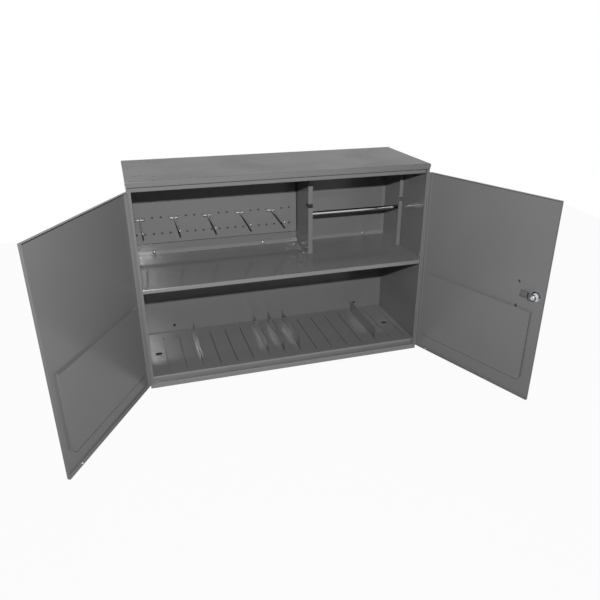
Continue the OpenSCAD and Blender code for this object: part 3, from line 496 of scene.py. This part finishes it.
@dataclass(frozen=True)
class Studio:
    """Camera, flash, soft light, floor and patches of painted shade behind the bolt holes.

    The photograph was taken from the left and above, with a small flash over the lens.
    """

    camera_place: Triple = (-437.7, -1852.5, 633.4)
    camera_turn: Triple = (64.72, -0.25, -17.78)  # degrees about x, y and z
    focal_px: float = 599.9
    principal_px: tuple[float, float] = (311.6, 317.8)
    sensor_mm: float = 36.0
    sight: float = 100000.0  # how far the camera sees
    flash_rise: float = 188.0  # over the lens
    flash_aim: Triple = (0.0, -200.0, 0.0)
    flash_radius: float = 18.0
    flash_watts: float = 41.0
    fill: Range = (0.01, 0.3)  # strength of the soft light from the front and from the back
    fill_edges: Range = (-0.1, 0.5)  # y of the directions where those strengths are reached
    floor_z: float = -1700.0
    floor_size: float = 12000.0
    bolt_x: float = 320.0
    bolt_z: float = 245.0
    patch_radius: float = 6.5
    patch_sides: int = 32
    patch_gap: float = 1.0  # behind the cabinet's back
    # colour of the painted shade behind the bolt holes
    shade_patch_colour: str = "232324"

    def camera(self) -> None:
        """Sets up the camera from its solved place, turn and principal point."""
        data = bpy.data.cameras.new("camera")
        data.sensor_width = self.sensor_mm
        data.lens = self.sensor_mm * self.focal_px / IMAGE_PX
        data.shift_x = 0.5 - self.principal_px[0] / IMAGE_PX
        data.shift_y = self.principal_px[1] / IMAGE_PX - 0.5
        data.clip_end = self.sight * MM
        camera = bpy.data.objects.new("camera", data)
        camera.location = Vector(self.camera_place) * MM
        camera.rotation_euler = [math.radians(angle) for angle in self.camera_turn]
        bpy.context.scene.collection.objects.link(camera)
        bpy.context.scene.camera = camera

    def flash(self) -> None:
        """Adds the small round flash over the lens, aimed at the cabinet."""
        data = bpy.data.lights.new("flash", "AREA")
        data.shape = "DISK"
        data.size = 2 * self.flash_radius * MM
        data.energy = self.flash_watts
        flash = bpy.data.objects.new("flash", data)
        place = Vector(self.camera_place) + Vector((0, 0, self.flash_rise))
        flash.location = place * MM
        way = Vector(self.flash_aim) - place
        flash.rotation_euler = way.to_track_quat("-Z", "Y").to_euler()
        bpy.context.scene.collection.objects.link(flash)

    def world(self) -> None:
        """Lights softly from behind and the sides, and shows plain white to the camera."""
        world = bpy.data.worlds.new("studio")
        world.use_nodes = True
        tree = world.node_tree
        tree.nodes.clear()
        place = add_node(tree, "ShaderNodeTexCoord").outputs["Generated"]
        axes = add_node(tree, "ShaderNodeSeparateXYZ", {"Vector": place}).outputs
        soft = add_node(tree, "ShaderNodeBackground", {
            "Color": WHITE, "Strength": spread(tree, axes["Y"], self.fill_edges, self.fill)})
        white = add_node(tree, "ShaderNodeBackground", {"Color": WHITE, "Strength": 1.0})
        mix = add_node(tree, "ShaderNodeMixShader", {
            0: seen_straight(tree), 1: soft.outputs["Background"],
            2: white.outputs["Background"]})
        add_node(tree, "ShaderNodeOutputWorld", {"Surface": mix.outputs["Shader"]})
        bpy.context.scene.world = world

    def floor(self) -> None:
        """Lays the floor under the hung cabinet."""
        bpy.ops.mesh.primitive_plane_add(size=self.floor_size * MM,
                                         location=(0, 0, self.floor_z * MM))
        floor = bpy.context.object
        floor.name = "studio_floor"
        floor.data.materials.append(PaleFloor().build())

    def painted_shade_patches(self) -> None:
        """Hangs small dark discs of painted shade behind the wall bolt holes, which show no
        backdrop.
        """
        # Painted shade: the dark discs stand in for the shade behind the hung cabinet, seen through
        # its bolt holes
        tone, tree = new_material("painted_shade_behind_holes")
        matt = add_node(tree, "ShaderNodeBsdfDiffuse", {"Color": linear(self.shade_patch_colour)})
        add_node(tree, "ShaderNodeOutputMaterial", {"Surface": matt.outputs["BSDF"]})
        for side, x in (("left", -self.bolt_x), ("right", self.bolt_x)):
            for level, z in (("low", -self.bolt_z), ("high", self.bolt_z)):
                bpy.ops.mesh.primitive_circle_add(
                    vertices=self.patch_sides, radius=self.patch_radius * MM, fill_type="NGON",
                    location=(x * MM, self.patch_gap * MM, z * MM), rotation=(math.pi / 2, 0, 0))
                patch = bpy.context.object
                patch.name = f"painted_shade_patch_{side}_{level}"
                patch.data.materials.append(tone)

    def build(self) -> None:
        """Sets up the whole studio."""
        self.camera()
        self.flash()
        self.world()
        self.floor()
        self.painted_shade_patches()
        bpy.context.scene.view_settings.view_transform = "Standard"


def facing(place: Vector, way: Vector) -> Matrix:
    """Gives the matrix that stands a piece at place with its Z along way."""
    return Matrix.Translation(place * MM) @ way.to_track_quat("Z", "Y").to_matrix().to_4x4()


class Bench:
    """Bends wire and turns small parts with Blender's own modelling operators."""

    smooth_below = math.radians(35)
    merge_within = 0.001
    chamfer_share = 0.2  # of a wire's radius

    def ring(self, name: str, place: Vector, way: Vector, radius: float, sides: int,
             filled: bool) -> bpy.types.Object:
        """Starts a piece from one ring, and leaves the ring selected in Edit mode.

        Args:
            name: Name of the piece.
            place: The ring's centre.
            way: The direction that the piece grows in.
            radius: The ring's radius.
            sides: Number of points on the ring.
            filled: Whether the ring is closed by a face.

        Returns:
            The new object.
        """
        bpy.ops.object.select_all(action="DESELECT")
        bpy.ops.mesh.primitive_circle_add(vertices=sides, radius=radius * MM,
                                          fill_type="NGON" if filled else "NOTHING")
        piece = bpy.context.object
        piece.name = piece.data.name = name
        piece.matrix_world = facing(place, way)
        bpy.ops.object.transform_apply(location=True, rotation=True, scale=True)
        bpy.ops.object.mode_set(mode="EDIT")
        bpy.ops.mesh.select_all(action="SELECT")
        return piece

    def extrude(self, step: Vector) -> None:
        """Draws the selected ring out by a step."""
        bpy.ops.mesh.extrude_region_move(TRANSFORM_OT_translate={"value": step * MM})

    def turn_profile(self, place: Vector, way: Vector, profile: Profile) -> None:
        """Draws the selected ring out through further rings.

        Args:
            place: The first ring's centre.
            way: The direction of the axis.
            profile: Height along the axis and radius of each ring, the selected one first.
        """
        for (low, before), (high, after) in zip(profile, profile[1:]):
            self.extrude(way * (high - low))
            if after != before:
                bpy.ops.transform.resize(value=[after / before] * 3,
                                         center_override=(place + way * high) * MM)

    def close(self, piece: bpy.types.Object) -> None:
        """Merges doubles, turns the faces outwards and smooths all but the sharp edges."""
        bpy.ops.mesh.select_all(action="SELECT")
        bpy.ops.mesh.remove_doubles(threshold=self.merge_within * MM)
        bpy.ops.mesh.normals_make_consistent(inside=False)
        bpy.ops.object.mode_set(mode="OBJECT")
        bpy.ops.object.shade_smooth_by_angle(angle=self.smooth_below)
        LOG.info("made %s: %d faces", piece.name, len(piece.data.polygons))

    def turned(self, name: str, place: Vector, way: Vector, profile: Profile,
               sides: int = 40, bored: bool = False) -> bpy.types.Object:
        """Turns a piece on the lathe.

        Args:
            name: Name of the piece.
            place: Where height 0 lies on the axis.
            way: The direction of the axis.
            profile: Height and radius of each ring, in order.
            sides: Number of sides around the axis.
            bored: Whether the last ring joins the first, which leaves a bore instead of two end
                faces.

        Returns:
            The closed piece.
        """
        start, radius = profile[0]
        piece = self.ring(name, place + way * start, way, radius, sides, filled=not bored)
        self.turn_profile(place, way, profile)
        if bored:
            bpy.ops.mesh.select_all(action="DESELECT")
            bpy.ops.mesh.select_non_manifold(use_wire=False, use_multi_face=False,
                                             use_non_contiguous=False, use_verts=False)
            bpy.ops.mesh.bridge_edge_loops()
        self.close(piece)
        return piece

    def bent_wire(self, name: str, radius: float, points: Sequence[Vector],
                  bends: Sequence[float], sides: int = 16, steps: int = 8) -> bpy.types.Object:
        """Bends round wire along a line of points.

        Args:
            name: Name of the piece.
            radius: The wire's radius.
            points: The ends and corners of its middle line.
            bends: The bend radius of each corner.
            sides: Number of sides around the wire.
            steps: Number of steps in each bend.

        Returns:
            The closed wire, with a small chamfer at both ends.
        """
        way = (points[1] - points[0]).normalized()
        chamfer = radius * self.chamfer_share
        piece = self.ring(name, points[0], way, radius - chamfer, sides, filled=True)
        self.turn_profile(points[0], way, [(0, radius - chamfer), (chamfer, radius)])
        here = points[0] + way * chamfer
        for corner, beyond, bend in zip(points[1:], points[2:], bends):
            ahead = (beyond - corner).normalized()
            axis = way.cross(ahead).normalized()
            angle = way.angle(ahead)
            reach = bend * math.tan(angle / 2)
            start = corner - way * reach
            self.extrude(start - here)
            # Spin turns clockwise about its axis for a positive angle
            bpy.ops.mesh.spin(steps=steps, angle=-angle, axis=axis,
                              center=(start + axis.cross(way) * bend) * MM)
            here, way = corner + ahead * reach, ahead
        end = points[-1] - way * chamfer
        self.extrude(end - here)
        self.turn_profile(end, way, [(0, radius), (chamfer, radius - chamfer)])
        self.close(piece)
        return piece

    def join(self, pieces: Sequence[bpy.types.Object]) -> bpy.types.Object:
        """Joins pieces into the first one."""
        bpy.ops.object.select_all(action="DESELECT")
        for piece in pieces:
            piece.select_set(True)
        bpy.context.view_layer.objects.active = pieces[0]
        bpy.ops.object.join()
        return pieces[0]


def rounded_tip(radius: float, length: float, rings: int = 5) -> Profile:
    """Gives a rod's profile from height 0 to a half-round tip.

    Args:
        radius: The rod's radius.
        length: Height at which the full half-round would end.
        rings: Number of rings on the tip.

    Returns:
        Height and radius of each ring.
    """
    # The last ring stops half a step short of the middle, and its end face closes the tip
    step = math.pi / 2 / (rings + 0.5)
    angles = [step * ring for ring in range(1, rings + 1)]
    middle = length - radius
    return [(0, radius), (middle, radius)] + [
        (middle + radius * math.sin(angle), radius * math.cos(angle)) for angle in angles]


@dataclass(frozen=True)
class WireHook:
    """A peg hook: one wire bent into two prongs and a cross, and a straight peg welded to it."""

    number: int  # 1 for the hook at the far left
    first_x: float = -404.9  # its left prong
    step_x: float = 101.6  # from hook to hook
    pitch: float = 25.4  # from hole to hole in the panel
    z: float = 127.0
    prong_y: float = -7.55
    cross_y: float = -29.0
    prong_up: float = 7.0
    prong_radius: float = 2.25
    prong_bend: float = 3.2
    cross_bend: float = 4.5
    peg_radius: float = 2.5
    peg_length: float = 162.5
    peg_rise: float = 2.0  # degrees

    def build(self, bench: Bench, shop: Workshop) -> None:
        """Makes the hook and hands it over in place of its node.

        Args:
            bench: Makes the wire and the peg.
            shop: Gives the finish.
        """
        left = self.first_x + self.step_x * (self.number - 1)
        right = left + self.pitch
        half = [(self.prong_y, self.z + self.prong_up), (self.prong_y, self.z),
                (self.cross_y, self.z)]
        points = [Vector((left, y, z)) for y, z in half]
        points += [Vector((right, y, z)) for y, z in reversed(half)]
        frame = bench.bent_wire(
            f"wire_hook_{self.number}", self.prong_radius, points,
            [self.prong_bend, self.cross_bend, self.cross_bend, self.prong_bend])
        rise = math.radians(self.peg_rise)
        peg = bench.turned(
            "peg", Vector(((left + right) / 2, self.cross_y, self.z)),
            Vector((0, -math.cos(rise), math.sin(rise))),
            rounded_tip(self.peg_radius, self.peg_length), sides=20)
        shop.supply(Finish.WIRE, bench.join([frame, peg]), [f"peg_hook_{self.number}"],
                    f"hook_{self.number}")


@dataclass(frozen=True)
class RodSpring:
    """The coil spring that presses the end pin out of the paper roll's rod."""

    start_x: float = 354.5
    end_x: float = 399.2
    y: float = -113.0
    z: float = 129.0
    coil_radius: float = 3.65
    wire_radius: float = 0.5
    turns: int = 12
    steps: int = 14  # in each turn
    sides: int = 8  # of the wire
    pin_travel: float = 4.0

    def build(self, bench: Bench, shop: Workshop) -> None:
        """Winds the spring.

        Args:
            bench: Holds the wire while it is wound.
            shop: Gives the finish.
        """
        foot, axis = Vector((self.start_x, self.y, self.z)), Vector((1, 0, 0))
        length, count = self.end_x - self.start_x, self.turns * self.steps
        spring = bench.ring("rod_coil_spring", foot + Vector((0, 0, self.coil_radius)),
                            Vector((0, 1, 0)), self.wire_radius, self.sides, filled=True)
        for _ in range(count):
            bench.extrude(axis * (length / count))
            bpy.ops.transform.rotate(value=2 * math.pi / self.steps, orient_axis="X",
                                     center_override=foot * MM)
        bench.close(spring)
        shop.supply(Finish.SPRING, spring, ["rod_spring"], "roller")
        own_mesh(spring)


@dataclass
class Case:
    """The folded sheets that don't move, with their rivets and screws."""

    shop: Workshop
    sheets: tuple[str, ...] = ("top_stop", "bottom_stop", "peg_panel", "roll_bracket_left",
                               "roll_bracket_right")
    glossy_sheets: tuple[str, ...] = ("slotted_tray", "shelf", "floor_pan")
    fasteners: tuple[str, ...] = ("shelf_rivets", "shelf_screws", "bracket_rivet")

    def build(self) -> None:
        """Finishes the sheets and their fasteners."""
        self.shop.dress(Finish.SHADED_PAINT, ["body_wrap"])
        self.shop.dress(Finish.LID_PAINT, ["top_lid"])
        self.shop.dress(Finish.GLOSSY_PAINT, self.glossy_sheets)
        self.shop.dress(Finish.PAINT, self.sheets)
        self.shop.dress(Finish.ZINC, self.fasteners)


@dataclass
class LooseParts:
    """Hooks, dividers and the paper roll's rod."""

    shop: Workshop
    bench: Bench
    count: int = 5

    def build(self) -> None:
        """Finishes the loose parts."""
        numbers = range(1, self.count + 1)
        for i in numbers:
            WireHook(i).build(self.bench, self.shop)
        RodSpring().build(self.bench, self.shop)
        self.shop.dress(Finish.DIVIDER_PAINT, [f"divider_{i}" for i in numbers])
        self.shop.dress(Finish.CHROME, ["rod_tube"])
        self.shop.dress(Finish.ZINC, ["rod_end_plug", "rod_plunger"])


@dataclass
class Doors:
    """Both doors, with their pockets and hinges."""

    shop: Workshop
    sides: tuple[str, str] = ("left", "right")

    def build(self) -> None:
        """Finishes the doors."""
        for side in self.sides:
            self.shop.dress(Finish.PAINT, [f"door_{side}", f"pocket_{side}",
                                           f"hinge_case_leaf_{side}", f"hinge_door_leaf_{side}"])
            self.shop.dress(Finish.ZINC, [f"hinge_pin_{side}"])


@dataclass(frozen=True)
class RightDoorFace:
    """The right door's own directions, at the angle that the door has in the photograph.

    Along runs from the hinge to the free edge. Inward runs from the door's outside to its inside.
    """

    hinge: tuple[float, float] = (421.5, -297.3)
    open_by: float = 110.2  # degrees

    def way(self, along: float, inward: float, up: float) -> Vector:
        """Turns a step in the door's own directions into one in the cabinet's frame."""
        return Matrix.Rotation(math.radians(self.open_by), 3, "Z") @ Vector((-along, inward, up))

    def place(self, along: float, inward: float, up: float) -> Vector:
        """Gives the place of a point on the door in the cabinet's frame."""
        return Vector((*self.hinge, 0)) + self.way(along, inward, up)


@dataclass
class LockSet:
    """The cylinder lock and the bow handle of the right door."""

    shop: Workshop
    bench: Bench
    face: RightDoorFace = RightDoorFace()
    outside: float = -8.1  # the door's outer face, counted inward from the hinge line
    lock_along: float = 390.5
    lock_up: float = 17.5
    flange_t: float = 3.0
    flange_radius: float = 13.0
    flange_rim: float = 1.0  # height of its straight edge
    flange_slope: float = 1.5  # how much narrower its outer face is
    bore_radius: float = 5.94
    crest_radius: float = 9.5
    root_radius: float = 9.05
    thread_from: float = -2.9
    thread_pitch: float = 1.0
    barrel_end: float = 7.4
    bow_along: float = 336.0
    bow_up: float = 9.0
    bow_half: float = 35.0  # half the distance between its feet
    bow_reach: float = 30.0
    bow_bend: float = 12.0
    bow_radius: float = 4.5
    foot_radius: float = 7.0
    foot_t: float = 2.5
    foot_edge: Profile = ((0.8, 0.0), (0.2, 0.5), (0.0, 1.2))  # below its top and inside its rim
    foot_grip: float = 0.5  # how far it reaches into the wire

    def barrel(self) -> None:
        """Turns the lock's barrel, with its flange outside the door and ridges for its thread."""
        top = self.outside - self.flange_t
        profile = [(top, self.bore_radius), (top, self.flange_radius - self.flange_slope),
                   (self.outside - self.flange_rim, self.flange_radius),
                   (self.outside, self.flange_radius), (self.outside, self.root_radius)]
        ridges = int((self.barrel_end - self.thread_from) / self.thread_pitch)
        for ridge in range(ridges):
            foot = self.thread_from + ridge * self.thread_pitch
            profile += [(foot, self.root_radius), (foot + self.thread_pitch / 2, self.crest_radius)]
        profile += [(self.barrel_end, self.root_radius), (self.barrel_end, self.bore_radius)]
        barrel = self.bench.turned("lock_barrel", self.face.place(self.lock_along, 0, self.lock_up),
                                   self.face.way(0, 1, 0), profile, sides=56, bored=True)
        self.shop.supply(Finish.CHROME, barrel, ["lock_housing"], "right_door")

    def bow(self) -> None:
        """Bends the bow handle and turns a collar for each foot."""
        far = self.outside - self.bow_reach
        low, high = self.bow_up - self.bow_half, self.bow_up + self.bow_half
        path = [(self.outside, low), (far, low), (far, high), (self.outside, high)]
        bow = self.bench.bent_wire(
            "bow_handle", self.bow_radius,
            [self.face.place(self.bow_along, inward, up) for inward, up in path],
            [self.bow_bend] * 2, sides=28, steps=12)
        edge = [(self.foot_t - below, self.foot_radius - inside)
                for below, inside in self.foot_edge]
        collar = [(0, self.foot_radius), *edge, (self.foot_t, self.bow_radius - self.foot_grip)]
        feet = [self.bench.turned("foot", self.face.place(self.bow_along, self.outside, up),
                                  self.face.way(0, -1, 0), collar) for up in (low, high)]
        self.shop.supply(Finish.CHROME, self.bench.join([bow, *feet]), ["pull_handle"],
                         "right_door")

    def build(self) -> None:
        """Makes the barrel and the handle, and finishes the rest of the lock."""
        self.barrel()
        self.bow()
        self.shop.dress(Finish.CHROME, ["lock_plug", "lock_nut", "cam_bolt"])
        self.shop.dress(Finish.CAM, ["lock_cam"])
        self.shop.dress(Finish.BLACK, ["handle_screws"])


def main() -> None:
    """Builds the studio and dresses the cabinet."""
    logging.basicConfig(level=logging.INFO, format="%(name)s: %(message)s")
    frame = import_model()
    Studio().build()
    shop, bench = Workshop(frame["nodes"]), Bench()
    for part in (Case(shop), LooseParts(shop, bench), Doors(shop), LockSet(shop, bench)):
        part.build()
    bare = sorted(set(frame["nodes"]) - shop.dressed)
    LOG.info("nodes with no finish: %s", bare or "none")


if __name__ == "__main__":
    main()
